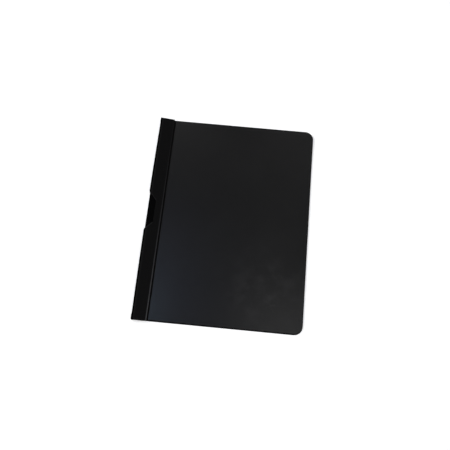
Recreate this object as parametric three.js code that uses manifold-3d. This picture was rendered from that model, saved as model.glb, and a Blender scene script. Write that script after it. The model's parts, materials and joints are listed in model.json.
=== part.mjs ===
// A4 clip folder: a folded film back with a binding strip, a creased film front cover, and a
// spring-steel clip that swings out of the open spine about a rivet at its lower end.
// Millimetres. X runs from the spine to the fore-edge, Y along the spine, Z up.
import * as THREE from 'three';
import { mergeVertices } from 'three/addons/utils/BufferGeometryUtils.js';
import Module from 'manifold-3d';

const wasm = await Module();
wasm.setup();

// Folded back sheet
const sheetLength = 310;
const sheetWidth = 228.7;
const backFilm = 0.5;
const spineHeight = 6.5;
const foldRadius = 1.2;
const stripWidth = 20.9;
const stripSlopeDegrees = 8.8;
const spineBow = 1.0;
const cornerRadius = 12;
const foldWeb = 6;
const slotLip = 0.1;

// Thumb cut-out in the spine
const thumbMouth = 62;
const thumbFloor = 33;
const thumbDepth = 11.2;
const thumbRound = 4;
const thumbAboveMiddle = 3.5;

// Front cover
const coverFilm = 0.4;
const coverInset = 1.5;
const weldWidth = 3.3;
const weldGap = 0.06;
const creaseFromStrip = 1.4;
const creaseHeight = 2.2;
const creaseGap = 0.3;
const coverRest = 0.25;
const cornerLift = 1.3;
const cornerLiftReach = 75;

// Spring clip
const steel = 0.5;
const bendRadius = 1.1;
const clipFromFold = 0.6;
const filmClearance = 0.25;
const jawToFlange = 0.6;
const jawGap = 0.7;
const lipReach = 2.2;
const lipRise = 0.8;
const clipEndClearance = 2;
const jawCornerRadius = 3;

// Rivet at the clip's lower end
const pivotFromFold = 8;
const pivotFromEnd = 15;
const tongueRadius = 6;
const tongueLength = 11;
const rivetRadius = 2.1;
const rivetWall = 0.5;
const rivetHeadRadius = 3.4;
const rivetHeadThickness = 0.5;
const rivetFootRadius = 3;
const rivetFit = 0.06;
const turningFit = 0.15;

// Fineness of the curved surfaces
const arcSteps = 3;
const lengthSteps = 24;
const coverSteps = 18;
const roundSteps = 32;

const slope = THREE.MathUtils.degToRad(stripSlopeDegrees);
const wholeCut = 2 * spineHeight;

const closed = (geometry) => {
  geometry.deleteAttribute('normal');
  geometry.deleteAttribute('uv');
  const merged = mergeVertices(geometry, 1e-5);
  return new wasm.Manifold(new wasm.Mesh({
    numProp: 3,
    vertProperties: new Float32Array(merged.attributes.position.array),
    triVerts: new Uint32Array(merged.index.array),
  }));
};

const opened = (solid) => {
  const mesh = solid.getMesh();
  const geometry = new THREE.BufferGeometry();
  geometry.setAttribute('position', new THREE.BufferAttribute(mesh.vertProperties, 3));
  geometry.setIndex(new THREE.BufferAttribute(mesh.triVerts, 1));
  geometry.computeVertexNormals();
  return geometry;
};

// The outline of a bent sheet: its centre line, drawn in X and Z, with half the thickness each side.
const sheetSection = (line, thickness) => {
  const offsets = line.map((point, i) => {
    const before = point.clone().sub(line[Math.max(i - 1, 0)]).normalize();
    const after = line[Math.min(i + 1, line.length - 1)].clone().sub(point).normalize();
    const into = i === 0 ? after : before;
    const out = i === line.length - 1 ? before : after;
    const normal = new THREE.Vector2(-into.y - out.y, into.x + out.x);
    return normal.multiplyScalar(thickness / 2 / (1 + into.dot(out)));
  });
  const left = line.map((point, i) => point.clone().add(offsets[i]));
  const right = line.map((point, i) => point.clone().sub(offsets[i]));
  return new THREE.Shape([...left, ...right.reverse()]);
};

// Extrudes a section drawn in X and Z along the spine, from one Y to another.
const alongSpine = (section, from, to, steps = 1) => {
  const geometry = new THREE.ExtrudeGeometry(section, { depth: to - from, steps, bevelEnabled: false });
  geometry.rotateX(Math.PI / 2);
  geometry.translate(0, to, 0);
  return geometry;
};

// Extrudes an outline drawn in X and Y upwards, between two heights.
const upright = (outline, bottom, top) => {
  const extrusion = { depth: top - bottom, bevelEnabled: false, curveSegments: arcSteps * 2 };
  const geometry = new THREE.ExtrudeGeometry(outline, extrusion);
  geometry.translate(0, 0, bottom);
  return geometry;
};

// Moves every vertex by a function of where it is.
const shaped = (geometry, move) => {
  const { position } = geometry.attributes;
  const point = new THREE.Vector3();
  for (let i = 0; i < position.count; i += 1) {
    point.fromBufferAttribute(position, i);
    move(point);
    position.setXYZ(i, point.x, point.y, point.z);
  }
  return geometry;
};

// A closed outline through its corners, each [x, y, fillet radius].
const filleted = (corners) => {
  const outline = new THREE.Shape();
  const middle = (a, b) => new THREE.Vector2((a[0] + b[0]) / 2, (a[1] + b[1]) / 2);
  const start = middle(corners.at(-1), corners[0]);
  outline.moveTo(start.x, start.y);
  corners.forEach((corner, i) => {
    const at = new THREE.Vector2(corner[0], corner[1]);
    const back = middle(corners.at(i - 1), corner).sub(at).normalize();
    const ahead = middle(corner, corners[(i + 1) % corners.length]).sub(at).normalize();
    const halfAngle = Math.acos(back.dot(ahead)) / 2;
    const reach = corner[2] / Math.tan(halfAngle);
    if (corner[2] > 0) {
      const first = at.clone().addScaledVector(back, reach);
      const last = at.clone().addScaledVector(ahead, reach);
      const inwards = back.clone().add(ahead).normalize();
      const centre = at.clone().addScaledVector(inwards, corner[2] / Math.sin(halfAngle));
      const turnsLeft = back.cross(ahead) < 0;
      const from = first.sub(centre).angle();
      const to = last.sub(centre).angle();
      outline.absarc(centre.x, centre.y, corner[2], from, to, !turnsLeft);
    } else {
      outline.lineTo(at.x, at.y);
    }
  });
  return outline;
};

const linePoints = (path) => path.getPoints(arcSteps);

// Height of the strip's outer and inner faces above a point on X, where the strip isn't bowed.
const foldTop = spineHeight - foldRadius;
const stripOuter = (x) => foldTop + foldRadius / Math.cos(slope) - (x - foldRadius) * Math.tan(slope);
const stripInner = (x) => stripOuter(x) - backFilm / Math.cos(slope);

// The sheet's outer edge bows outwards between the two closed webs of the fold.
const bow = (point) => {
  const share = Math.max(0, 1 - point.x / stripWidth);
  point.x -= spineBow * share * Math.sin(Math.PI * point.y / sheetLength);
};

// Space between the two film walls of the spine that the clip swings through.
const slotFloor = backFilm + slotLip;
const slotCeiling = (x) => stripInner(x + spineBow) - slotLip;

const thumbOutline = () => {
  const middle = sheetLength / 2 + thumbAboveMiddle;
  const mouthX = -spineBow;
  const flare = (thumbMouth - thumbFloor) / 2 / (thumbDepth - mouthX);
  const beyond = thumbDepth;
  const wide = thumbMouth / 2 + flare * beyond;
  return filleted([
    [mouthX - beyond, middle - wide, 0],
    [thumbDepth, middle - thumbFloor / 2, thumbRound],
    [thumbDepth, middle + thumbFloor / 2, thumbRound],
    [mouthX - beyond, middle + wide, 0],
  ]);
};

// Outline of a cover seen from above, with the two corners of the fore-edge rounded.
const coverOutline = (left, inset) => filleted([
  [left, inset, 0],
  [sheetWidth, inset, cornerRadius],
  [sheetWidth, sheetLength - inset, cornerRadius],
  [left, sheetLength - inset, 0],
]);

const material = (color, roughness, metalness) => (
  new THREE.MeshStandardMaterial({ color, roughness, metalness })
);

const piece = (name, geometry, looks) => {
  const mesh = new THREE.Mesh(geometry, looks);
  mesh.name = name;
  return mesh;
};

const rivetBore = rivetRadius + rivetFit;
const pivotedAt = (geometry) => geometry.translate(pivotFromFold, pivotFromEnd, 0);

// One film: back cover, fold and binding strip, with the clip's slot, the thumb cut-out and the
// rivet's hole.
const backSheet = () => {
  const half = backFilm / 2;
  const centreRadius = foldRadius - half;
  const line = new THREE.Path();
  line.moveTo(sheetWidth, half);
  line.lineTo(foldRadius, half);
  line.absarc(foldRadius, foldRadius, centreRadius, -Math.PI / 2, -Math.PI, true);
  line.absarc(foldRadius, foldTop, centreRadius, Math.PI, Math.PI / 2 - slope, true);
  line.lineTo(stripWidth, stripOuter(stripWidth) - half / Math.cos(slope));
  const section = sheetSection(linePoints(line), backFilm);
  const folded = closed(shaped(alongSpine(section, 0, sheetLength, lengthSteps), bow));
  const slot = new THREE.Shape([
    new THREE.Vector2(-spineBow - foldRadius, slotFloor),
    new THREE.Vector2(2 * foldRadius, slotFloor),
    new THREE.Vector2(2 * foldRadius, slotCeiling(2 * foldRadius)),
    new THREE.Vector2(-spineBow - foldRadius, slotCeiling(-spineBow - foldRadius)),
  ]);
  const countersink = new THREE.LatheGeometry([
    new THREE.Vector2(0, -backFilm),
    new THREE.Vector2(2 * rivetFootRadius - rivetRadius + rivetFit, -backFilm),
    new THREE.Vector2(rivetBore, backFilm),
    new THREE.Vector2(rivetBore, 2 * backFilm),
    new THREE.Vector2(0, 2 * backFilm),
  ], roundSteps).rotateX(Math.PI / 2);
  return folded
    .intersect(closed(upright(coverOutline(-2 * spineBow - foldRadius, 0), -backFilm, wholeCut)))
    .subtract(closed(alongSpine(slot, foldWeb, sheetLength - foldWeb)))
    .subtract(closed(upright(thumbOutline(), -backFilm, wholeCut)))
    .subtract(closed(pivotedAt(countersink)));
};

const creaseX = stripWidth + creaseFromStrip;

// The part of the front film that is welded under the strip and steps down to the crease.
const coverFlange = () => {
  const half = coverFilm / 2;
  const under = (x) => stripInner(x) - (weldGap + half) / Math.cos(slope);
  const line = [
    new THREE.Vector2(stripWidth - weldWidth, under(stripWidth - weldWidth)),
    new THREE.Vector2(stripWidth, under(stripWidth)),
    new THREE.Vector2(creaseX - creaseGap / 2, creaseHeight - half),
  ];
  return closed(alongSpine(sheetSection(line, coverFilm), coverInset, sheetLength - coverInset));
};

// The front cover's free part, lying on the back, with its upper fore-edge corner curled up a little.
const frontCover = () => {
  const half = coverFilm / 2;
  const left = creaseX + creaseGap / 2;
  const low = backFilm + coverRest + half;
  const line = Array.from({ length: coverSteps + 1 }, (_, i) => {
    const share = i / coverSteps;
    const height = THREE.MathUtils.lerp(creaseHeight - half, low, share);
    return new THREE.Vector2(THREE.MathUtils.lerp(left, sheetWidth, share), height);
  });
  const curl = (point) => {
    const away = Math.hypot(sheetWidth - point.x, sheetLength - coverInset - point.y);
    point.z += cornerLift * Math.max(0, 1 - away / cornerLiftReach) ** 2;
  };
  const section = sheetSection(line, coverFilm);
  const sheet = alongSpine(section, coverInset, sheetLength - coverInset, lengthSteps);
  return closed(shaped(sheet, curl))
    .intersect(closed(upright(coverOutline(0, coverInset), -backFilm, wholeCut)));
};

const jawFloor = backFilm + filmClearance;
const clipTop = slotCeiling(clipFromFold) - filmClearance;
const clipStart = pivotFromEnd + tongueLength;
const clipEnd = sheetLength - foldWeb - clipEndClearance;
const clipMouth = stripWidth - weldWidth - jawToFlange;
const jawEnd = clipMouth - lipReach;

// One bent strip of spring steel: two jaws and the clip's back, with a flat tongue to the rivet.
const springClip = () => {
  const half = steel / 2;
  const bend = bendRadius - half;
  const jawTop = jawFloor + steel + jawGap;
  const line = new THREE.Path();
  const bendX = clipFromFold + bendRadius;
  const bendTop = clipTop - bendRadius;
  const reach = jawEnd - bendX;
  const drop = bendTop - jawTop - half;
  const lean = Math.atan2(drop, reach) + Math.asin(bend / Math.hypot(drop, reach));
  line.moveTo(clipMouth, jawFloor + half);
  line.lineTo(bendX, jawFloor + half);
  line.absarc(bendX, jawFloor + bendRadius, bend, -Math.PI / 2, -Math.PI, true);
  line.absarc(bendX, bendTop, bend, Math.PI, Math.PI / 2 - lean, true);
  line.lineTo(jawEnd, jawTop + half);
  line.lineTo(clipMouth, jawTop + half + lipRise);
  const outline = filleted([
    [clipFromFold - steel, clipStart, 0],
    [clipMouth, clipStart, jawCornerRadius],
    [clipMouth, clipEnd, jawCornerRadius],
    [clipFromFold - steel, clipEnd, 0],
  ]);
  const tongue = new THREE.Shape();
  tongue.absarc(pivotFromFold, pivotFromEnd, tongueRadius, Math.PI, 2 * Math.PI, false);
  tongue.lineTo(clipMouth - jawCornerRadius, clipStart + jawCornerRadius);
  tongue.lineTo(clipFromFold + bendRadius, clipStart + jawCornerRadius);
  tongue.closePath();
  const hole = new THREE.CylinderGeometry(
    rivetRadius + turningFit, rivetRadius + turningFit, wholeCut, roundSteps,
  ).rotateX(Math.PI / 2);
  return closed(alongSpine(sheetSection(linePoints(line), steel), clipStart, clipEnd))
    .intersect(closed(upright(outline, 0, wholeCut)))
    .add(closed(upright(tongue, jawFloor, jawFloor + steel)))
    .subtract(closed(pivotedAt(hole)));
};

// Hollow rivet: its foot is flush in the back's countersink and its rolled head holds the clip down.
const rivet = () => {
  const headBottom = jawFloor + steel + turningFit;
  const headTop = headBottom + rivetHeadThickness;
  const boreRadius = rivetRadius - rivetWall;
  const roll = rivetHeadThickness / 2;
  const profile = [
    [boreRadius, 0],
    [rivetFootRadius, 0],
    [rivetRadius, backFilm],
    [rivetRadius, headBottom],
    [rivetHeadRadius, headBottom],
    [rivetHeadRadius, headTop - roll],
    [rivetHeadRadius - roll, headTop],
    [boreRadius + roll, headTop],
    [boreRadius, headTop - roll],
    [boreRadius, 0],
  ].map(([radius, height]) => new THREE.Vector2(radius, height));
  return closed(pivotedAt(new THREE.LatheGeometry(profile, roundSteps).rotateX(Math.PI / 2)));
};

const blackFilm = () => material(0x1d1d20, 0.42, 0);

const pieces = new THREE.Group();
pieces.add(
  piece('back_sheet', opened(backSheet()), blackFilm()),
  piece('front_cover_flange', opened(coverFlange()), blackFilm()),
  piece('front_cover', opened(frontCover()), blackFilm()),
  piece('spring_clip', opened(springClip()), material(0x0b0b0c, 0.35, 0.85)),
  piece('clip_rivet', opened(rivet()), material(0x2a2a2c, 0.4, 0.9)),
);

// The origin is under the middle of the folder, on the surface that it lies on.
const extent = new THREE.Box3().setFromObject(pieces);
const folderMiddle = extent.getCenter(new THREE.Vector3());
pieces.position.set(-folderMiddle.x, -folderMiddle.y, -extent.min.z);

const folder = new THREE.Group();
folder.add(pieces);

export default folder;
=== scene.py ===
"""Dresses the closed clip folder: the folded film back, the creased film front and the swinging steel clip.

Metres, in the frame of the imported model: X from the spine to the fore-edge, Y along the spine, Z up.
"""
import json
import math

import bmesh
import bpy
from mathutils import Matrix, Vector


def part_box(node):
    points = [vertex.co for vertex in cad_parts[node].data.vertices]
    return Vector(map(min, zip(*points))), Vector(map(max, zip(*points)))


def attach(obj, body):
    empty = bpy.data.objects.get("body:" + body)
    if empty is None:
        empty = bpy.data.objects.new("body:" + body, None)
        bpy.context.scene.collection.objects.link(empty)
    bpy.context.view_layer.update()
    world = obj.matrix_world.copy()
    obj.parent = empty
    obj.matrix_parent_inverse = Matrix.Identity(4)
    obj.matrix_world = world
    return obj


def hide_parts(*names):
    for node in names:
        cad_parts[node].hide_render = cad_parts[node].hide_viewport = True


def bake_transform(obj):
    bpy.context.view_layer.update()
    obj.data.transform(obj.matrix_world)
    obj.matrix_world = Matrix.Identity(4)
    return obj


bl_info = {
    "name": "Clip folder",
    "version": (1, 0, 0),
    "blender": (4, 5, 0),
    "location": "3D View > Sidebar > Clip Folder",
    "description": "Makes an A4 film folder with a steel clip in its spine",
    "category": "Add Mesh",
}

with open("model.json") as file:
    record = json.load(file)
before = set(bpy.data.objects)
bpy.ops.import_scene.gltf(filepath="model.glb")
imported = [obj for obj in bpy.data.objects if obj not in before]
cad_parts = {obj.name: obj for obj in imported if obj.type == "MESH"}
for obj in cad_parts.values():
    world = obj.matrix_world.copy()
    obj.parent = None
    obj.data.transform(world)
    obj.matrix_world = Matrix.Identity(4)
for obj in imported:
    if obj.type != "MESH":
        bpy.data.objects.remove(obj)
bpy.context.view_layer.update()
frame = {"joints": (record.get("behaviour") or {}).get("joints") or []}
MM = 0.001

BACK_LOW, BACK_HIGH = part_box("back_sheet")
FLANGE_LOW, FLANGE_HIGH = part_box("front_cover_flange")
COVER_LOW, COVER_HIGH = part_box("front_cover")
CLIP_LOW, CLIP_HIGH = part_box("spring_clip")
RIVET_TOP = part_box("clip_rivet")[1].z
HINGES = {joint["name"]: Vector(joint["pos_m"]) for joint in frame["joints"]}
CREASE = HINGES["cover_hinge"]
PIVOT = HINGES["clip_swing"]

ALONG_X = Vector((1, 0, 0))
ALONG_Y = Vector((0, 1, 0))
TINY = 1e-7
CLOSE = 0.03 * MM
RIM_BEND = 1 * MM
CORNER_STEPS = 12
HOLE_SIDES = 32
FLAT = "flat_place"
CLOUD_SCALE = 45
SCRATCH_SCALE = 42
SCRATCH_WIDTH = 0.018
RUB_SCALE = 70


class BackSheetSettings(bpy.types.PropertyGroup):
    width: bpy.props.FloatProperty(
        name="Width", description="From the fold to the fore-edge", default=228.7 * MM, unit="LENGTH")
    film: bpy.props.FloatProperty(
        name="Film", description="Thickness of the back film", default=0.5 * MM, unit="LENGTH")
    fold_radius: bpy.props.FloatProperty(
        name="Fold radius", description="Outer radius of the spine's two bends",
        default=1.2 * MM, unit="LENGTH")
    strip_width: bpy.props.FloatProperty(
        name="Strip width", description="From the fold to the strip's free edge",
        default=20.9 * MM, unit="LENGTH")
    strip_slope: bpy.props.FloatProperty(
        name="Strip slope", description="How far the strip leans down to its free edge",
        default=math.radians(8.8), subtype="ANGLE")
    rim_width: bpy.props.FloatProperty(
        name="Rim width", description="Welded edge of the strip, pressed level",
        default=1.5 * MM, unit="LENGTH")
    bow: bpy.props.FloatProperty(
        name="Bow", description="How far the open spine bows out in the middle",
        default=1.0 * MM, unit="LENGTH")
    corner_radius: bpy.props.FloatProperty(
        name="Corner radius", description="Corners of the fore-edge", default=12 * MM, unit="LENGTH")
    web: bpy.props.FloatProperty(
        name="Closed fold", description="Length of the fold that stays closed at each end",
        default=6 * MM, unit="LENGTH")
    thumb_mouth: bpy.props.FloatProperty(
        name="Thumb mouth", description="Length of the cut-out at the fold", default=62 * MM, unit="LENGTH")
    thumb_floor: bpy.props.FloatProperty(
        name="Thumb floor", description="Length of the cut-out at its floor", default=33 * MM, unit="LENGTH")
    thumb_depth: bpy.props.FloatProperty(
        name="Thumb depth", description="Depth of the cut-out from the fold",
        default=11.2 * MM, unit="LENGTH")
    thumb_round: bpy.props.FloatProperty(
        name="Thumb round", description="Radius of the floor's two corners", default=4 * MM, unit="LENGTH")
    thumb_offset: bpy.props.FloatProperty(
        name="Thumb offset", description="How far above the middle the cut-out is",
        default=3.5 * MM, unit="LENGTH")
    # Faces within this margin of the cut-out's slanted ends take the rim material, a painted highlight on
    # the cut edges.
    thumb_sheen_rim: bpy.props.FloatProperty(
        name="Thumb sheen rim", description="Pressed margin of the strip along the cut-out's slanted ends",
        default=0.9 * MM, unit="LENGTH")
    colour: bpy.props.FloatVectorProperty(
        name="Back film colour", description="Black film of the back and strip",
        default=(0.003, 0.0029, 0.003), subtype="COLOR", size=3)
    # Colour at the top of the strip's welded rim; its material lifts it into a painted highlight towards the
    # bottom.
    rim_colour: bpy.props.FloatVectorProperty(
        name="Rim colour", description="Welded edge of the strip",
        default=(0.0034, 0.0034, 0.0035), subtype="COLOR", size=3)
    # Painted shade: the strip's margin beside the fold is darker than the film.
    fold_edge: bpy.props.FloatProperty(
        name="Fold edge", description="Dark margin of the strip beside the fold",
        default=1.4 * MM, unit="LENGTH")
    # The fold's light line is a painted highlight on the strip.
    glint_reach: bpy.props.FloatProperty(
        name="Glint reach", description="How far the fold's light line runs out over the strip",
        default=2.6 * MM, unit="LENGTH")
    soft_edge: bpy.props.FloatProperty(
        name="Edge radius", description="Radius on the back film's edges", default=0.14 * MM, unit="LENGTH")
    # Painted shade on the outside of the spine's fold.
    fold_shade_colour: bpy.props.FloatVectorProperty(
        name="Fold shade colour", description="Outside of the spine's fold",
        default=(0.0006, 0.0006, 0.0006), subtype="COLOR", size=3)


class FrontCoverSettings(bpy.types.PropertyGroup):
    film: bpy.props.FloatProperty(
        name="Film", description="Thickness of the front film", default=0.4 * MM, unit="LENGTH")
    weld_width: bpy.props.FloatProperty(
        name="Weld width", description="Margin of the film under the strip", default=3.3 * MM, unit="LENGTH")
    crease_width: bpy.props.FloatProperty(
        name="Crease width", description="Width of the scored groove beside the strip",
        default=1.7 * MM, unit="LENGTH")
    crease_depth: bpy.props.FloatProperty(
        name="Crease depth", description="How far the groove lies under the cover",
        default=0.35 * MM, unit="LENGTH")
    blend_start: bpy.props.FloatProperty(
        name="Bend start", description="From the strip's edge to where the film starts to bend open",
        default=0.1 * MM, unit="LENGTH")
    blend_reach: bpy.props.FloatProperty(
        name="Bend reach", description="From the crease to where the cover turns as a whole",
        default=1.6 * MM, unit="LENGTH")
    curl: bpy.props.FloatProperty(
        name="Corner curl", description="How far the top corner stands up", default=1.3 * MM, unit="LENGTH")
    curl_reach: bpy.props.FloatProperty(
        name="Curl reach", description="How far the curl runs in from the corner",
        default=75 * MM, unit="LENGTH")
    ripple: bpy.props.FloatProperty(
        name="Ripple", description="Height of the film's slow waves", default=0.12 * MM, unit="LENGTH")
    ripple_start: bpy.props.FloatProperty(
        name="Ripple start", description="Stretch beside the crease over which the waves set in",
        default=30 * MM, unit="LENGTH")
    smudge_in: bpy.props.FloatProperty(
        name="Smudge in", description="From the fore-edge to the middle of the handled patch",
        default=55 * MM, unit="LENGTH")
    smudge_up: bpy.props.FloatProperty(
        name="Smudge up", description="From the bottom to the middle of the handled patch",
        default=60 * MM, unit="LENGTH")
    smudge_reach: bpy.props.FloatProperty(
        name="Smudge reach", description="Radius of the handled patch", default=80 * MM, unit="LENGTH")
    soft_edge: bpy.props.FloatProperty(
        name="Edge radius", description="Radius on the front film's edges",
        default=0.12 * MM, unit="LENGTH")
    # Painted shade in the scored groove beside the strip.
    crease_shade_colour: bpy.props.FloatVectorProperty(
        name="Crease shade colour", description="Scored groove beside the strip",
        default=(0.0048, 0.0048, 0.0048), subtype="COLOR", size=3)
    colour: bpy.props.FloatVectorProperty(
        name="Front film colour", description="Charcoal film of the front cover",
        default=(0.0095, 0.0094, 0.0096), subtype="COLOR", size=3)


class ClipSettings(bpy.types.PropertyGroup):
    steel: bpy.props.FloatProperty(
        name="Steel", description="Thickness of the clip's steel", default=0.5 * MM, unit="LENGTH")
    bend_radius: bpy.props.FloatProperty(
        name="Bend radius", description="Outer radius of the clip's two bends",
        default=1.1 * MM, unit="LENGTH")
    jaw_gap: bpy.props.FloatProperty(
        name="Jaw gap", description="Space between the jaws where they grip",
        default=0.7 * MM, unit="LENGTH")
    lip_reach: bpy.props.FloatProperty(
        name="Lip reach", description="Length of the upper jaw's turned-up lip",
        default=2.2 * MM, unit="LENGTH")
    lip_rise: bpy.props.FloatProperty(
        name="Lip rise", description="How far the lip turns up", default=0.8 * MM, unit="LENGTH")
    corner_radius: bpy.props.FloatProperty(
        name="Jaw corners", description="Corners of the two jaws", default=3 * MM, unit="LENGTH")
    tongue_radius: bpy.props.FloatProperty(
        name="Tongue radius", description="Round end of the tongue, about the rivet",
        default=6 * MM, unit="LENGTH")
    tongue_length: bpy.props.FloatProperty(
        name="Tongue length", description="From the rivet to the jaws", default=11 * MM, unit="LENGTH")
    play: bpy.props.FloatProperty(
        name="Play", description="Gap between the rivet and the clip", default=0.15 * MM, unit="LENGTH")
    soft_edge: bpy.props.FloatProperty(
        name="Edge radius", description="Radius on the clip's edges", default=0.12 * MM, unit="LENGTH")
    colour: bpy.props.FloatVectorProperty(
        name="Steel colour", description="Black finish of the steel", default=(0.0015, 0.0015, 0.0016),
        subtype="COLOR", size=3)


class RivetSettings(bpy.types.PropertyGroup):
    radius: bpy.props.FloatProperty(
        name="Rivet radius", description="Outside of the hollow rivet", default=2.1 * MM, unit="LENGTH")
    wall: bpy.props.FloatProperty(
        name="Rivet wall", description="Wall of the hollow rivet", default=0.5 * MM, unit="LENGTH")
    head_radius: bpy.props.FloatProperty(
        name="Head radius", description="Rolled head of the rivet", default=3.4 * MM, unit="LENGTH")
    head_thickness: bpy.props.FloatProperty(
        name="Head thickness", description="Thickness of the rolled head",
        default=0.5 * MM, unit="LENGTH")
    foot_radius: bpy.props.FloatProperty(
        name="Foot radius", description="Countersunk foot of the rivet", default=3 * MM, unit="LENGTH")
    fit: bpy.props.FloatProperty(
        name="Fit", description="Gap between the rivet's foot and the film",
        default=0.06 * MM, unit="LENGTH")
    soft_edge: bpy.props.FloatProperty(
        name="Edge radius", description="Radius on the rivet's edges", default=0.12 * MM, unit="LENGTH")
    colour: bpy.props.FloatVectorProperty(
        name="Rivet colour", description="Plated steel of the rivet", default=(0.03, 0.03, 0.032),
        subtype="COLOR", size=3)


class StudioSettings(bpy.types.PropertyGroup):
    lens: bpy.props.FloatProperty(
        name="Lens", description="Focal length on a 36 mm sensor", default=57.0, unit="CAMERA")
    camera_place: bpy.props.FloatVectorProperty(
        name="Camera place", description="Where the camera stands", default=(0.02744, -0.39374, 0.92599),
        subtype="TRANSLATION", size=3)
    camera_turn: bpy.props.FloatVectorProperty(
        name="Camera turn", description="The camera's rotation", subtype="EULER", size=3,
        default=(math.radians(22.759), math.radians(-0.467), math.radians(5.493)))
    floor_size: bpy.props.FloatProperty(
        name="Floor size", description="Side of the white table top", default=6.0, unit="LENGTH")
    table_drop: bpy.props.FloatProperty(
        name="Table drop", description="Gap between the table top and the folder",
        default=0.02 * MM, unit="LENGTH")
    table_lift: bpy.props.FloatProperty(
        name="Table lift", description="White added to the table as the camera sees it",
        default=0.3, subtype="FACTOR")
    room_light: bpy.props.FloatProperty(
        name="Room light", description="Strength of the white room", default=0.42, subtype="FACTOR")
    panel_light: bpy.props.FloatProperty(
        name="Panel light", description="Strength of the dark ceiling panel",
        default=0.05, subtype="FACTOR")
    panel_towards: bpy.props.FloatVectorProperty(
        name="Panel towards", description="Where the dark ceiling panel hangs",
        default=(-0.02, 0.38, 0.92), subtype="DIRECTION", size=3)
    panel_inner: bpy.props.FloatProperty(
        name="Panel inner", description="Half angle of the panel's dark middle",
        default=math.radians(8), subtype="ANGLE")
    panel_outer: bpy.props.FloatProperty(
        name="Panel outer", description="Half angle at which the room is white again",
        default=math.radians(38), subtype="ANGLE")
    window_power: bpy.props.FloatProperty(
        name="Window power", description="The window on the left", default=36, unit="POWER")
    overhead_power: bpy.props.FloatProperty(
        name="Overhead power", description="The softbox above", default=6, unit="POWER")
    right_power: bpy.props.FloatProperty(
        name="Right panel power", description="The softbox on the right", default=1.5, unit="POWER")
    blue_power: bpy.props.FloatProperty(
        name="Blue power", description="Deep blue sheen on the cover's left", default=0.4, unit="POWER")
    sky_power: bpy.props.FloatProperty(
        name="Sky power", description="Pale blue sheen low on the cover's left", default=1.1, unit="POWER")
    lower_power: bpy.props.FloatProperty(
        name="Lower power", description="Sheen along the cover's bottom", default=1.2, unit="POWER")
    upper_left_power: bpy.props.FloatProperty(
        name="Upper left power", description="Sheen at the cover's top left corner",
        default=0.8, unit="POWER")
    upper_right_power: bpy.props.FloatProperty(
        name="Upper right power", description="Sheen at the cover's top right corner",
        default=1.0, unit="POWER")


def pieces_settings():
    return bpy.context.scene.clip_folder


def bends(points, radii):
    """The path of a bent film through points on X and Z, as a heading and (length, turn) stretches."""
    legs = [Vector(after) - Vector(before) for before, after in zip(points, points[1:])]
    headings = [math.atan2(leg.y, leg.x) for leg in legs]
    path = []
    taken = 0
    for leg, heading, following, radius in zip(legs, headings, headings[1:], radii):
        turn = (following - heading + math.pi) % (2 * math.pi) - math.pi
        reach = radius * math.tan(abs(turn) / 2)
        path.append((leg.length - taken - reach, 0))
        path.append((radius * abs(turn), turn))
        taken = reach
    path.append((legs[-1].length - taken, 0))
    return headings[0], path


def bent(path, start, heading, distance):
    """Where a point of the flat film lies after bending: X and Z of the film's middle."""
    x, z = start
    for length, turn in path:
        step = min(distance, length)
        if turn:
            radius = length / turn
            after = heading + turn * step / length
            x += radius * (math.sin(after) - math.sin(heading))
            z -= radius * (math.cos(after) - math.cos(heading))
            heading = after
        else:
            x += step * math.cos(heading)
            z += step * math.sin(heading)
        distance -= step
        if distance <= 0:
            break
    return x, z


def stretches(path):
    """Where each stretch of a path starts, and where the last one ends."""
    return [sum(length for length, _ in path[:i]) for i in range(len(path) + 1)]


def bend_lines(path, starts, steps):
    """Score lines at the ends of each bend and at even steps inside it."""
    lines = []
    for start, (length, turn) in zip(starts, path):
        if turn:
            lines += [start + length * step / steps for step in range(steps + 1)]
    return lines


def blank(length, low_y, high_y):
    """A flat film: its length along X from zero, and its ends on Y."""
    bm = bmesh.new()
    bmesh.ops.create_grid(bm, x_segments=1, y_segments=1, size=0.5)
    middle = Vector((length / 2, (low_y + high_y) / 2, 0))
    bmesh.ops.scale(bm, vec=(length, high_y - low_y, 1), verts=bm.verts)
    bmesh.ops.translate(bm, vec=middle, verts=bm.verts)
    return bm


def round_corners(bm, at_x, radius, steps):
    """Rounds the flat film's corners at one place on X."""
    corners = [vert for vert in bm.verts if abs(vert.co.x - at_x) < TINY]
    bmesh.ops.bevel(
        bm, geom=corners, offset=radius, offset_type="OFFSET", segments=steps, profile=0.5,
        affect="VERTICES", material=-1, clamp_overlap=True)


def score(bm, direction, places):
    """Cuts the film's faces along straight lines square to a direction."""
    for place in places:
        geometry = bm.verts[:] + bm.edges[:] + bm.faces[:]
        bmesh.ops.bisect_plane(
            bm, geom=geometry, dist=TINY, plane_co=direction * place, plane_no=direction)


def cut(bm, faces, point, outward, clear=False):
    """Cuts some of the faces along one straight line, and can take away what is past it."""
    edges = list({edge for face in faces for edge in face.edges})
    verts = list({vert for face in faces for vert in face.verts})
    bmesh.ops.bisect_plane(
        bm, geom=verts + edges + faces, dist=TINY, plane_co=point, plane_no=outward, clear_outer=clear)


def punch(bm, sides, low_x, high_x):
    """Cuts out what lies inside all of the sides, each a point and the direction out of the hole."""
    def inside(face, some):
        centre = face.calc_center_median()
        if not low_x < centre.x < high_x:
            return False
        return all((centre - point).dot(outward) < 0 for point, outward in some)

    for count, (point, outward) in enumerate(sides):
        cut(bm, [face for face in bm.faces if inside(face, sides[:count])], point, outward)
    waste = [face for face in bm.faces if inside(face, sides)]
    bmesh.ops.delete(bm, geom=waste, context="FACES")


def round_sides(centre, radius, first, last, count):
    """Tangents of an arc, each a point and its outward direction, between two angles."""
    sides = []
    for step in range(count + 1):
        angle = first + (last - first) * step / count
        outward = Vector((math.cos(angle), math.sin(angle), 0))
        sides.append((centre + outward * radius, outward))
    return sides


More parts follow.
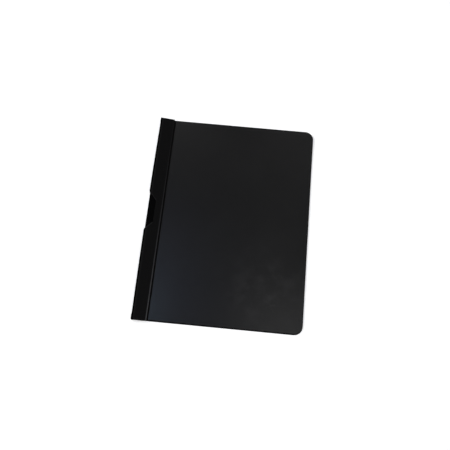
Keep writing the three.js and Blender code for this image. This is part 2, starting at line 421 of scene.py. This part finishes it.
def keep_flat_place(bm):
    """Writes each point's place on the flat film, in metres, as the texture coordinates."""
    layer = bm.loops.layers.uv.new(FLAT)
    for face in bm.faces:
        for loop in face.loops:
            loop[layer].uv = loop.vert.co.xy


def punch_round(bm, centre, radius, low_x, high_x):
    """Punches a round hole, as a polygon of HOLE_SIDES sides."""
    last = HOLE_SIDES - 1
    punch(bm, round_sides(centre, radius, 0, math.tau * last / HOLE_SIDES, last), low_x, high_x)


def evenly(low, high, step):
    """Places between two limits, about a step apart, without the limits."""
    count = max(1, round((high - low) / step))
    return [low + (high - low) * i / count for i in range(1, count)]


def finished(bm, name, thickness, soft_edge, materials):
    """A mesh object, given the thickness of its film or steel and soft edges."""
    bmesh.ops.remove_doubles(bm, verts=bm.verts, dist=CLOSE)
    bmesh.ops.recalc_face_normals(bm, faces=bm.faces)
    for face in bm.faces:
        face.smooth = True
    mesh = bpy.data.meshes.new(name)
    bm.to_mesh(mesh)
    bm.free()
    thing = bpy.data.objects.new(name, mesh)
    bpy.context.scene.collection.objects.link(thing)
    for material in materials:
        mesh.materials.append(material)
    if thickness:
        solid = thing.modifiers.new("Thickness", "SOLIDIFY")
        solid.thickness = thickness
        solid.offset = 0
        solid.use_even_offset = True
    edge = thing.modifiers.new("Soft edges", "BEVEL")
    edge.width = soft_edge
    edge.segments = 2
    edge.limit_method = "ANGLE"
    edge.angle_limit = math.radians(50)
    edge.harden_normals = True
    edge.use_clamp_overlap = False
    return thing


def calculated(nodes, links, operation, first, second, clamp=False):
    """The output of a maths node over two sockets or numbers."""
    node = nodes.new("ShaderNodeMath")
    node.operation = operation
    node.use_clamp = clamp
    for value, socket in zip((first, second), node.inputs):
        if isinstance(value, bpy.types.NodeSocket):
            links.new(value, socket)
        else:
            socket.default_value = value
    return node.outputs["Value"]


def ranged(nodes, links, value, start, end, smooth=True):
    """One at the first limit and zero at the second, by a number or socket each."""
    node = nodes.new("ShaderNodeMapRange")
    node.interpolation_type = "SMOOTHSTEP" if smooth else "LINEAR"
    links.new(value, node.inputs["Value"])
    for limit, title in ((start, "From Min"), (end, "From Max")):
        if isinstance(limit, bpy.types.NodeSocket):
            links.new(limit, node.inputs[title])
        else:
            node.inputs[title].default_value = limit
    node.inputs["To Min"].default_value = 1
    node.inputs["To Max"].default_value = 0
    return node.outputs["Result"]


def surface_group():
    """Grain, handling marks, a smudged patch, a painted highlight line and a painted lift towards the
    folder's bottom, over a place on the flat film.
    """
    group = bpy.data.node_groups.get("handled_surface")
    if group:
        return group
    group = bpy.data.node_groups.new("handled_surface", "ShaderNodeTree")
    face = group.interface
    face.new_socket("Place", in_out="INPUT", socket_type="NodeSocketVector")
    defaults = {
        "Grain size": 900.0, "Mark size": 9.0, "Mark lift": 0.3, "Roughness": 0.4, "Mark depth": 0.08,
        "Smudge lift": 0.0, "Smudge reach": 0.06, "Line at": 0.0, "Line reach": 0.003, "Line lift": 0.0,
        "Low lift": 0.0,
    }
    for title, value in defaults.items():
        socket = face.new_socket(title, in_out="INPUT", socket_type="NodeSocketFloat")
        socket.default_value = value
    face.new_socket("Smudge place", in_out="INPUT", socket_type="NodeSocketVector")
    face.new_socket("Tint", in_out="INPUT", socket_type="NodeSocketColor")
    face.new_socket("Colour", in_out="OUTPUT", socket_type="NodeSocketColor")
    face.new_socket("Roughness", in_out="OUTPUT", socket_type="NodeSocketFloat")
    face.new_socket("Height", in_out="OUTPUT", socket_type="NodeSocketFloat")
    nodes, links = group.nodes, group.links
    given = nodes.new("NodeGroupInput")
    result = nodes.new("NodeGroupOutput")

    def noise(scale, detail):
        node = nodes.new("ShaderNodeTexNoise")
        node.inputs["Detail"].default_value = detail
        links.new(given.outputs["Place"], node.inputs["Vector"])
        if isinstance(scale, bpy.types.NodeSocket):
            links.new(scale, node.inputs["Scale"])
        else:
            node.inputs["Scale"].default_value = scale
        return node.outputs["Fac"]

    def maths(operation, first, second, clamp=False):
        return calculated(nodes, links, operation, first, second, clamp)

    grain = noise(given.outputs["Grain size"], 3)
    marks = noise(given.outputs["Mark size"], 4)
    away = nodes.new("ShaderNodeVectorMath")
    away.operation = "DISTANCE"
    links.new(given.outputs["Place"], away.inputs[0])
    links.new(given.outputs["Smudge place"], away.inputs[1])
    patch = ranged(nodes, links, away.outputs["Value"], 0, given.outputs["Smudge reach"])
    cloud = ranged(nodes, links, noise(CLOUD_SCALE, 5), 0.7, 0.42)
    cells = nodes.new("ShaderNodeTexVoronoi")
    cells.feature = "DISTANCE_TO_EDGE"
    cells.inputs["Scale"].default_value = SCRATCH_SCALE
    links.new(given.outputs["Place"], cells.inputs["Vector"])
    scratches = ranged(nodes, links, cells.outputs["Distance"], 0, SCRATCH_WIDTH)
    rubbed = maths("MULTIPLY", scratches, ranged(nodes, links, noise(RUB_SCALE, 2), 0.62, 0.5))
    smudge = maths("MULTIPLY", patch, maths("MAXIMUM", cloud, rubbed))
    split = nodes.new("ShaderNodeSeparateXYZ")
    links.new(given.outputs["Place"], split.inputs["Vector"])
    # Painted light: a highlight line about a place on X, and a lift towards the folder's bottom, a highlight
    # on the rim and, with a negative lift, a shade in the crease.
    from_line = maths("ABSOLUTE", maths("SUBTRACT", split.outputs["X"], given.outputs["Line at"]), 0)
    line = ranged(nodes, links, from_line, 0, given.outputs["Line reach"])
    lower = ranged(nodes, links, split.outputs["Y"], BACK_LOW.y, BACK_HIGH.y, smooth=False)
    lifts = [
        maths("MULTIPLY", marks, given.outputs["Mark lift"]),
        maths("MULTIPLY", smudge, given.outputs["Smudge lift"]),
        maths("MULTIPLY", line, given.outputs["Line lift"]),
        maths("MULTIPLY", maths("MULTIPLY", lower, lower), given.outputs["Low lift"]),
    ]
    lift = 1
    for each in lifts:
        lift = maths("ADD", each, lift)
    shade = nodes.new("ShaderNodeVectorMath")
    shade.operation = "SCALE"
    links.new(given.outputs["Tint"], shade.inputs[0])
    links.new(lift, shade.inputs["Scale"])
    unevenness = maths("MULTIPLY", maths("SUBTRACT", marks, 0.5), given.outputs["Mark depth"])
    links.new(shade.outputs["Vector"], result.inputs["Colour"])
    links.new(maths("ADD", unevenness, given.outputs["Roughness"]), result.inputs["Roughness"])
    links.new(grain, result.inputs["Height"])
    return group


def handled_material(name, colour, roughness, gloss, grain_depth=0.0, metallic=0.0, **marks):
    """Satin film or finished steel, with its own values for the shared surface."""
    material = bpy.data.materials.new(name)
    material.use_nodes = True
    nodes, links = material.node_tree.nodes, material.node_tree.links
    shader = nodes["Principled BSDF"]
    shader.inputs["Specular IOR Level"].default_value = gloss
    shader.inputs["Metallic"].default_value = metallic
    flat = nodes.new("ShaderNodeUVMap")
    flat.uv_map = FLAT
    surface = nodes.new("ShaderNodeGroup")
    surface.node_tree = surface_group()
    surface.inputs["Roughness"].default_value = roughness
    surface.inputs["Tint"].default_value = (*colour, 1)
    for title, value in marks.items():
        surface.inputs[title.replace("_", " ").capitalize()].default_value = value
    links.new(flat.outputs["UV"], surface.inputs["Place"])
    links.new(surface.outputs["Colour"], shader.inputs["Base Color"])
    links.new(surface.outputs["Roughness"], shader.inputs["Roughness"])
    if grain_depth:
        bump = nodes.new("ShaderNodeBump")
        bump.inputs["Strength"].default_value = grain_depth
        bump.inputs["Distance"].default_value = 0.02 * MM
        links.new(surface.outputs["Height"], bump.inputs["Height"])
        links.new(bump.outputs["Normal"], shader.inputs["Normal"])
    return material


def back_film(back, line_at):
    """Black film with a painted highlight, a soft light line beside the fold."""
    return handled_material(
        "back_film", back.colour, roughness=0.42, gloss=0.04, grain_depth=0.35, mark_lift=0.3,
        line_at=line_at, line_reach=back.glint_reach, line_lift=1.9)


def welded_rim_and_sheen(back):
    """The weld's pressed finish, with a painted highlight that grows lighter towards the folder's bottom."""
    return handled_material(
        "welded_rim_and_sheen", back.rim_colour, roughness=0.3, gloss=0.06, grain_depth=0.15, mark_lift=0.4,
        low_lift=11.0)


# Painted shade on the outside of the spine's fold, darker than the film.
def shaded_fold_film(back):
    return handled_material("shaded_fold_film", back.fold_shade_colour, roughness=0.6, gloss=0.0)


def front_film(front, smudge_place):
    """Charcoal film with a patch of handling marks."""
    return handled_material(
        "front_film", front.colour, roughness=0.23, gloss=0.2, grain_depth=0.2, mark_lift=0.3,
        smudge_lift=0.75, smudge_place=smudge_place, smudge_reach=front.smudge_reach)


# Painted shade in the scored groove, darker still towards the folder's bottom.
def shaded_crease_film(front):
    return handled_material(
        "shaded_crease_film", front.crease_shade_colour, roughness=0.7, gloss=0.04, grain_depth=0.4, low_lift=-0.6)


def black_steel(clip):
    return handled_material("black_steel", clip.colour, roughness=0.4, gloss=0.01, mark_lift=0.4)


def rivet_steel(rivet):
    return handled_material("rivet_steel", rivet.colour, roughness=0.3, gloss=0.3, metallic=1.0)


def thumb_ends(back, fold_s, towards):
    """The cut-out's two slanted ends in the flat film, each a point and its outward direction."""
    middle = (BACK_LOW.y + BACK_HIGH.y) / 2 + back.thumb_offset
    run = back.thumb_depth + back.bow
    rise = (back.thumb_mouth - back.thumb_floor) / 2
    floor_s = fold_s + towards * back.thumb_depth
    return [
        (Vector((floor_s, middle + way * back.thumb_floor / 2, 0)),
         Vector((rise * towards, way * run, 0)).normalized())
        for way in (-1, 1)
    ]


def thumb_sides(back, fold_s, towards):
    """Sides of the cut-out in the flat film, on one side of the fold line at fold_s."""
    sides = []
    outward = Vector((towards, 0, 0))
    for corner, side in thumb_ends(back, fold_s, towards):
        half = outward.angle(side) / 2
        reach = back.thumb_round / math.cos(half)
        centre = corner - (outward + side).normalized() * reach
        sides.append((corner, side))
        turn = outward.rotation_difference(side)
        for share in (0.2, 0.4, 0.6, 0.8):
            tangent = Matrix.Rotation(turn.angle * share, 3, turn.axis) @ outward
            sides.append((centre + tangent * back.thumb_round, tangent))
    sides.append((Vector((fold_s + towards * back.thumb_depth, 0, 0)), outward))
    sides.append((Vector((fold_s, 0, 0)), -outward))
    return sides


def back_section(back):
    """The folded back from its fore-edge: the first point, the first heading and the stretches."""
    half = back.film / 2
    radius = back.fold_radius - half
    lean = back.strip_slope
    top_corner = BACK_HIGH.z - back.fold_radius + radius * (1 / math.cos(lean) + math.tan(lean))
    rim_x = back.strip_width - back.rim_width
    rim_z = top_corner - (rim_x - half) * math.tan(lean)
    start = (back.width, half)
    heading, path = bends(
        [start, (half, half), (half, top_corner), (rim_x, rim_z), (back.strip_width, rim_z)],
        [radius, radius, RIM_BEND])
    return start, heading, path


def punch_slot(bm, back, path, starts):
    """Cuts the spine's wall away between the two ends that stay closed."""
    sides = [
        (Vector((starts[1] + path[1][0] / 2, 0, 0)), -ALONG_X),
        (Vector((starts[3] + path[3][0] / 2, 0, 0)), ALONG_X),
        (Vector((0, BACK_LOW.y + back.web, 0)), -ALONG_Y),
        (Vector((0, BACK_HIGH.y - back.web, 0)), ALONG_Y),
    ]
    punch(bm, sides, starts[1], starts[4])


def bend_back(bm, back, start, heading, path):
    """Folds the flat film into its section, with the open spine bowed out."""
    fold_x = BACK_HIGH.x - back.width
    length = BACK_HIGH.y - BACK_LOW.y
    for vert in bm.verts:
        x, z = bent(path, start, heading, vert.co.x)
        share = max(0, 1 - x / back.strip_width)
        x -= back.bow * share * math.sin(math.pi * (vert.co.y - BACK_LOW.y) / length)
        vert.co = Vector((fold_x + x, vert.co.y, z))


class CLIPFOLDER_OT_back_sheet(bpy.types.Operator):
    """Folds the back film: back cover, spine and binding strip in one piece"""
    bl_idname = "clip_folder.back_sheet"
    bl_label = "Folded back"

    def execute(self, context):
        settings = pieces_settings()
        back, rivet = settings.back, settings.rivet
        start, heading, path = back_section(back)
        starts = stretches(path)
        fold, strip, rim = starts[1], starts[4], starts[5]
        wall = (starts[2] + starts[3]) / 2
        dark_end = strip + back.fold_edge
        bm = blank(starts[-1], BACK_LOW.y, BACK_HIGH.y)
        round_corners(bm, 0, back.corner_radius, CORNER_STEPS)
        score(bm, ALONG_X, bend_lines(path, starts, 6) + [dark_end])
        score(bm, ALONG_Y, [BACK_LOW.y + back.web, BACK_HIGH.y - back.web])
        punch_slot(bm, back, path, starts)
        middle_radius = back.fold_radius - back.film / 2
        strip_fold = strip - back.fold_radius - middle_radius * math.sin(back.strip_slope)
        punch(bm, thumb_sides(back, back.width, -1), 0, wall)
        punch(bm, thumb_sides(back, strip_fold, 1), wall, rim)
        slants = thumb_ends(back, strip_fold, 1)
        for point, outward in slants:
            strip_faces = [face for face in bm.faces if wall < face.calc_center_median().x < rim]
            cut(bm, strip_faces, point + outward * back.thumb_sheen_rim, outward)
        hole = Vector((BACK_HIGH.x - PIVOT.x, PIVOT.y, 0))
        punch_round(bm, hole, rivet.foot_radius + rivet.fit, 0, fold)
        score(bm, ALONG_X, evenly(0, fold, 9 * MM) + evenly(strip, rim, 3 * MM))
        score(bm, ALONG_Y, evenly(BACK_LOW.y, BACK_HIGH.y, 8 * MM))
        keep_flat_place(bm)
        finishes = [back_film(back, dark_end), welded_rim_and_sheen(back), shaded_fold_film(back)]
        # Painted light by faces: the welded rim and a margin along the cut-out's slanted ends take the rim's
        # painted highlight, and the fold's outside takes the painted shade.
        for face in bm.faces:
            centre = face.calc_center_median()
            past = max((centre - point).dot(outward) for point, outward in slants)
            if centre.x > rim:
                face.material_index = 1
            elif wall < centre.x < dark_end:
                face.material_index = 2
            elif wall < centre.x < slants[0][0].x and 0 < past < back.thumb_sheen_rim:
                face.material_index = 1
        bend_back(bm, back, start, heading, path)
        sheet = finished(bm, "folded_back", back.film, back.soft_edge, finishes)
        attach(sheet, "folder_back")
        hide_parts("back_sheet")
        return {"FINISHED"}


def strip_edge_x(back):
    """Where the strip's free edge is, on X."""
    return BACK_HIGH.x - back.width + back.strip_width


def front_section(back, front):
    """The creased front from under the strip: the first point, the first heading and the stretches."""
    half = front.film / 2
    lean = back.strip_slope
    edge_x = strip_edge_x(back)
    left = edge_x - front.weld_width
    rim_x = edge_x - back.rim_width
    top = FLANGE_HIGH.z - half / math.cos(lean)
    rim_z = top - (rim_x - left) * math.tan(lean)
    cover_z = FLANGE_LOW.z + half
    start = (left, top)
    groove = (CREASE.x - front.crease_width / 4, cover_z - front.crease_depth)
    cover = (CREASE.x + front.crease_width / 2, cover_z)
    fore_edge = (COVER_HIGH.x, COVER_LOW.z + half)
    heading, path = bends(
        [start, (rim_x, rim_z), (edge_x - half, rim_z), groove, cover, fore_edge],
        [RIM_BEND, half, half, RIM_BEND])
    return start, heading, path


def cover_lift(front, x, y):
    """How far the film stands up at a place: the curled corner and the slow waves."""
    corner = Vector((COVER_HIGH.x, COVER_HIGH.y, 0))
    away = (corner - Vector((x, y, 0))).length
    curl = front.curl * max(0, 1 - away / front.curl_reach) ** 2
    cover_x = CREASE.x + front.crease_width / 2
    inland = min(1, max(0, (x - cover_x) / front.ripple_start))
    # Two crossing waves, about 0.25 m and 0.33 m long, raised and scaled to reach the ripple's height.
    wave = math.sin(23 * x + 11 * y + 1.1) * math.sin(17 * y - 9 * x)
    return curl + front.ripple * inland * (0.6 + wave) / 1.6


class CLIPFOLDER_OT_front_cover(bpy.types.Operator):
    """Creases the front film: its margin under the strip, the scored groove and the cover beyond it"""
    bl_idname = "clip_folder.front_cover"
    bl_label = "Front cover"

    def execute(self, context):
        settings = pieces_settings()
        back, front = settings.back, settings.front
        start, heading, path = front_section(back, front)
        starts = stretches(path)
        step, groove_end, cover, fore_edge = starts[3], starts[7], starts[8], starts[9]
        bm = blank(fore_edge, COVER_LOW.y, COVER_HIGH.y)
        round_corners(bm, fore_edge, back.corner_radius, CORNER_STEPS)
        score(bm, ALONG_X, bend_lines(path, starts, 4))
        score(bm, ALONG_X, [cover + count * 0.5 * MM for count in range(1, 7)])
        score(bm, ALONG_X, evenly(cover + 3 * MM, fore_edge, 5 * MM))
        score(bm, ALONG_Y, evenly(COVER_LOW.y, COVER_HIGH.y, 5 * MM))
        keep_flat_place(bm)
        # The scored groove takes the painted shade of the crease.
        for face in bm.faces:
            if step < face.calc_center_median().x < groove_end:
                face.material_index = 1
        for vert in bm.verts:
            x, z = bent(path, start, heading, vert.co.x)
            vert.co = Vector((x, vert.co.y, z + cover_lift(front, x, vert.co.y)))
        smudge_place = (fore_edge - front.smudge_in, BACK_LOW.y + front.smudge_up, 0)
        finishes = [front_film(front, smudge_place), shaded_crease_film(front)]
        sheet = finished(bm, "creased_front", front.film, front.soft_edge, finishes)
        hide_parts("front_cover", "front_cover_flange")
        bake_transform(sheet)
        return {"FINISHED"}


def clip_section(clip):
    """The clip from its lower jaw's mouth: the first point, the first heading and the stretches."""
    half = clip.steel / 2
    bend = clip.bend_radius - half
    back_x = CLIP_LOW.x + half
    bend_x = CLIP_LOW.x + clip.bend_radius
    bend_top = CLIP_HIGH.z - clip.bend_radius
    jaw_z = CLIP_LOW.z + half
    grip = (CLIP_HIGH.x - clip.lip_reach, jaw_z + clip.steel + clip.jaw_gap)
    drop = bend_top - grip[1]
    reach = grip[0] - bend_x
    lean = math.atan2(drop, reach) + math.asin(bend / math.hypot(drop, reach))
    top = bend_top + bend * (1 / math.cos(lean) + math.tan(lean))
    start = (CLIP_HIGH.x, jaw_z)
    heading, path = bends(
        [start, (back_x, jaw_z), (back_x, top), grip, (CLIP_HIGH.x, grip[1] + clip.lip_rise)],
        [bend, bend, RIM_BEND])
    return start, heading, path


def grow_tongue(bm, clip, centre, jaw_low):
    """Draws the lower jaw out to a tongue with a round end about a centre."""
    score(bm, ALONG_X, [centre.x - clip.tongue_radius, centre.x + clip.tongue_radius])
    neck = [
        edge for edge in bm.edges
        if all(abs(vert.co.y - jaw_low) < TINY for vert in edge.verts)
        and abs(sum(vert.co.x for vert in edge.verts) / 2 - centre.x) < clip.tongue_radius
    ]
    grown = bmesh.ops.extrude_edge_only(bm, edges=neck)["geom"]
    tip = [thing for thing in grown if isinstance(thing, bmesh.types.BMVert)]
    bmesh.ops.translate(bm, vec=ALONG_Y * (CLIP_LOW.y - jaw_low), verts=tip)
    for point, outward in round_sides(centre, clip.tongue_radius, math.pi, math.tau, 24)[1:-1]:
        tongue = [face for face in bm.faces if face.calc_center_median().y < jaw_low]
        cut(bm, tongue, point, outward, clear=True)


class CLIPFOLDER_OT_clip(bpy.types.Operator):
    """Bends the steel clip: two jaws, a turned-up lip and the tongue that it turns on"""
    bl_idname = "clip_folder.clip"
    bl_label = "Steel clip"

    def execute(self, context):
        settings = pieces_settings()
        clip, rivet = settings.clip, settings.rivet
        start, heading, path = clip_section(clip)
        starts = stretches(path)
        jaw_low = PIVOT.y + clip.tongue_length
        bm = blank(starts[-1], jaw_low, CLIP_HIGH.y)
        round_corners(bm, 0, clip.corner_radius, 8)
        round_corners(bm, starts[-1], clip.corner_radius, 8)
        score(bm, ALONG_X, bend_lines(path, starts, 8))
        centre = Vector((CLIP_HIGH.x - PIVOT.x, PIVOT.y, 0))
        grow_tongue(bm, clip, centre, jaw_low)
        punch_round(bm, centre, rivet.radius + clip.play, 0, starts[1])
        score(bm, ALONG_Y, evenly(jaw_low, CLIP_HIGH.y, 9 * MM))
        keep_flat_place(bm)
        for vert in bm.verts:
            x, z = bent(path, start, heading, vert.co.x)
            vert.co = Vector((x, vert.co.y, z))
        strip = finished(bm, "bent_clip", clip.steel, clip.soft_edge, [black_steel(clip)])
        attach(strip, "clip")
        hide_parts("spring_clip")
        return {"FINISHED"}


def rivet_profile(rivet, film):
    """Half of the rivet's section: a countersunk foot in the film, a hollow shank and a rolled head."""
    roll = rivet.head_thickness / 2
    bore = rivet.radius - rivet.wall
    below = RIVET_TOP - rivet.head_thickness
    outer = [(rivet.head_radius - roll, angle) for angle in range(-90, 91, 15)]
    inner = [(bore + roll, angle) for angle in range(90, 181, 15)]
    rolled = [
        (x + roll * math.cos(math.radians(angle)), RIVET_TOP - roll + roll * math.sin(math.radians(angle)))
        for x, angle in outer + inner
    ]
    return [(bore, 0), (rivet.foot_radius, 0), (rivet.radius, film), (rivet.radius, below), *rolled]


class CLIPFOLDER_OT_rivet(bpy.types.Operator):
    """Spins the hollow rivet that the clip turns on"""
    bl_idname = "clip_folder.rivet"
    bl_label = "Rivet"

    def execute(self, context):
        settings = pieces_settings()
        rivet = settings.rivet
        profile = rivet_profile(rivet, settings.back.film)
        bm = bmesh.new()
        ring = [bm.verts.new((PIVOT.x + x, PIVOT.y, z)) for x, z in profile]
        sides = [bm.edges.new(pair) for pair in zip(ring, ring[1:] + ring[:1])]
        bmesh.ops.spin(
            bm, geom=ring + sides, cent=(PIVOT.x, PIVOT.y, 0), axis=(0, 0, 1), angle=math.tau, steps=48,
            use_merge=True)
        keep_flat_place(bm)
        piece = finished(bm, "rolled_rivet", 0, rivet.soft_edge, [rivet_steel(rivet)])
        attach(piece, "folder_back")
        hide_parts("clip_rivet")
        return {"FINISHED"}


def seen_directly(nodes, links):
    """One for what the camera sees, also by way of a mirror or glass, and zero for light on the folder."""
    rays = nodes.new("ShaderNodeLightPath")
    seen = rays.outputs["Is Camera Ray"]
    for title in ("Is Glossy Ray", "Is Transmission Ray"):
        either = nodes.new("ShaderNodeMath")
        either.operation = "MAXIMUM"
        links.new(seen, either.inputs[0])
        links.new(rays.outputs[title], either.inputs[1])
        seen = either.outputs["Value"]
    return seen


def white_table(studio):
    """White table top that keeps the shadow and is a little brighter to the eye than to the folder."""
    material = bpy.data.materials.new("white_table")
    material.use_nodes = True
    nodes, links = material.node_tree.nodes, material.node_tree.links
    paint = nodes["Principled BSDF"]
    paint.inputs["Base Color"].default_value = (0.95, 0.95, 0.95, 1)
    paint.inputs["Roughness"].default_value = 0.9
    paint.inputs["Specular IOR Level"].default_value = 0.0
    seen = seen_directly(nodes, links)
    strength = nodes.new("ShaderNodeMath")
    strength.operation = "MULTIPLY"
    strength.inputs[1].default_value = studio.table_lift
    links.new(seen, strength.inputs[0])
    paint.inputs["Emission Color"].default_value = (1, 1, 1, 1)
    links.new(strength.outputs["Value"], paint.inputs["Emission Strength"])
    return material


def soft_room(studio):
    """A white room with a dark ceiling panel, which the black film mirrors."""
    world = bpy.data.worlds.new("soft_room")
    world.use_nodes = True
    nodes, links = world.node_tree.nodes, world.node_tree.links
    seen = seen_directly(nodes, links)
    walls = nodes.new("ShaderNodeMapRange")
    walls.inputs["To Min"].default_value = studio.room_light
    walls.inputs["To Max"].default_value = 1
    links.new(seen, walls.inputs["Value"])
    place = nodes.new("ShaderNodeTexCoord")
    towards = nodes.new("ShaderNodeVectorMath")
    towards.operation = "DOT_PRODUCT"
    towards.inputs[1].default_value = Vector(studio.panel_towards).normalized()
    links.new(place.outputs["Generated"], towards.inputs[0])
    edge = nodes.new("ShaderNodeMapRange")
    edge.interpolation_type = "SMOOTHSTEP"
    edge.inputs["From Min"].default_value = math.cos(studio.panel_outer)
    edge.inputs["From Max"].default_value = math.cos(studio.panel_inner)
    edge.inputs["To Max"].default_value = studio.panel_light
    links.new(walls.outputs["Result"], edge.inputs["To Min"])
    links.new(towards.outputs["Value"], edge.inputs["Value"])
    backdrop = nodes["Background"]
    backdrop.inputs["Color"].default_value = (1, 1, 1, 1)
    links.new(edge.outputs["Result"], backdrop.inputs["Strength"])
    return world


def softbox(name, place, size, power, colour=(1, 1, 1)):
    """An area lamp that faces the folder."""
    light = bpy.data.lights.new(name, "AREA")
    light.color = colour
    light.shape = "RECTANGLE"
    light.size, light.size_y = size
    light.energy = power
    lamp = bpy.data.objects.new(name, light)
    lamp.location = place
    lamp.rotation_euler = (-Vector(place)).to_track_quat("-Z", "Y").to_euler()
    bpy.context.scene.collection.objects.link(lamp)


def set_lamps(studio):
    """The window that lights the folder, and the softboxes that its films mirror."""
    softbox("left_window", (-2.0, 0.3, 1.3), (1.4, 1.4), studio.window_power)
    softbox("overhead", (0.0, -0.75, 2.0), (1.5, 1.3), studio.overhead_power)
    softbox("blue_light", (-0.34, 0.55, 2.0), (0.4, 0.6), studio.blue_power, (0.3, 0.4, 1.0))
    softbox("sky_light", (-0.5, 0.42, 2.0), (0.2, 0.3), studio.sky_power, (0.55, 0.78, 1.0))
    softbox("lower_light", (0.34, 0.22, 2.0), (0.66, 0.26), studio.lower_power)
    softbox("upper_left_light", (-0.42, 1.6, 2.0), (0.35, 0.35), studio.upper_left_power)
    softbox("upper_right_light", (0.42, 1.5, 2.0), (0.35, 0.35), studio.upper_right_power)
    softbox("right_panel", (1.5, -0.1, 1.5), (0.7, 1.2), studio.right_power)


def lay_table(studio):
    """The table top, just under the folder."""
    bm = bmesh.new()
    bmesh.ops.create_grid(bm, x_segments=1, y_segments=1, size=studio.floor_size / 2)
    mesh = bpy.data.meshes.new("table_top")
    bm.to_mesh(mesh)
    bm.free()
    table = bpy.data.objects.new("table_top", mesh)
    table.location.z = -studio.table_drop
    bpy.context.scene.collection.objects.link(table)
    mesh.materials.append(white_table(studio))


def place_camera(studio):
    camera = bpy.data.cameras.new("camera")
    camera.lens = studio.lens
    camera.sensor_width = 36
    holder = bpy.data.objects.new("camera", camera)
    holder.location = studio.camera_place
    holder.rotation_euler = studio.camera_turn
    bpy.context.scene.collection.objects.link(holder)
    bpy.context.scene.camera = holder


class CLIPFOLDER_OT_studio(bpy.types.Operator):
    """Makes the white table top, the soft light and the camera"""
    bl_idname = "clip_folder.studio"
    bl_label = "Studio"

    def execute(self, context):
        studio = pieces_settings().studio
        lay_table(studio)
        context.scene.world = soft_room(studio)
        set_lamps(studio)
        place_camera(studio)
        context.scene.view_settings.view_transform = "Standard"
        return {"FINISHED"}


class ClipFolderSettings(bpy.types.PropertyGroup):
    back: bpy.props.PointerProperty(type=BackSheetSettings)
    front: bpy.props.PointerProperty(type=FrontCoverSettings)
    clip: bpy.props.PointerProperty(type=ClipSettings)
    rivet: bpy.props.PointerProperty(type=RivetSettings)
    studio: bpy.props.PointerProperty(type=StudioSettings)


class CLIPFOLDER_PT_panel(bpy.types.Panel):
    """Lists the folder's pieces and their sizes"""
    bl_label = "Clip Folder"
    bl_idname = "CLIPFOLDER_PT_panel"
    bl_space_type = "VIEW_3D"
    bl_region_type = "UI"
    bl_category = "Clip Folder"

    def draw(self, context):
        settings = pieces_settings()
        groups = (settings.back, settings.front, settings.clip, settings.rivet, settings.studio)
        for operator, group in zip(OPERATORS, groups):
            box = self.layout.box()
            box.operator(operator.bl_idname)
            for name in group.bl_rna.properties.keys():
                if name not in ("rna_type", "name"):
                    box.prop(group, name)


OPERATORS = (
    CLIPFOLDER_OT_back_sheet, CLIPFOLDER_OT_front_cover, CLIPFOLDER_OT_clip, CLIPFOLDER_OT_rivet,
    CLIPFOLDER_OT_studio,
)
CLASSES = (
    BackSheetSettings, FrontCoverSettings, ClipSettings, RivetSettings, StudioSettings,
    ClipFolderSettings, *OPERATORS, CLIPFOLDER_PT_panel,
)


def register():
    for cls in CLASSES:
        bpy.utils.register_class(cls)
    bpy.types.Scene.clip_folder = bpy.props.PointerProperty(type=ClipFolderSettings)


def unregister():
    del bpy.types.Scene.clip_folder
    for cls in reversed(CLASSES):
        bpy.utils.unregister_class(cls)


def main():
    register()
    bpy.ops.clip_folder.back_sheet()
    bpy.ops.clip_folder.front_cover()
    bpy.ops.clip_folder.clip()
    bpy.ops.clip_folder.rivet()
    bpy.ops.clip_folder.studio()


if __name__ == "__main__":
    main()
